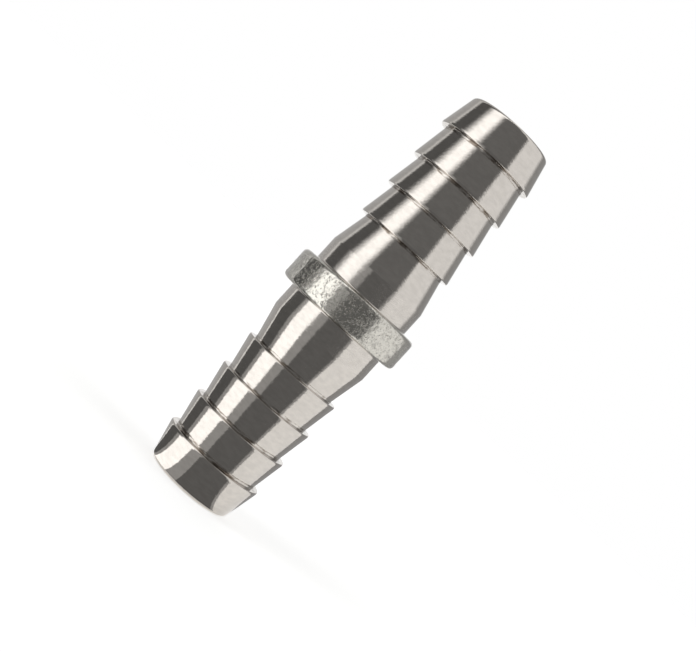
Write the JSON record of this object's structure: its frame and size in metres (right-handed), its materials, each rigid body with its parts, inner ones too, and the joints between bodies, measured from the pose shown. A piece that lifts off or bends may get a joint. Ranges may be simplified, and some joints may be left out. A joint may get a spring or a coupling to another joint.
{
  "type": "hose joiner",
  "caption": "Straight double-ended hose joiner for 1/2 in hose: one turned metal piece with a barbed tail each side of a round collar and a through bore.",
  "frame": {"origin": "centre of the lower tail's end face, which the part stands on", "axes": "+Z along the bore, from the lower tail to the upper tail, which is the one with the slightly longer last barb spacing; X and Y are free, because the part is round"},
  "size_m": [0.0178, 0.0178, 0.0591],
  "materials": {
    "polished_metal": "bright turned stainless steel on the tails, as-cast orange-peel skin on the collar"
  },
  "bodies": {
    "root": {"hose_joiner": "polished_metal"}
  },
  "joints": []
}
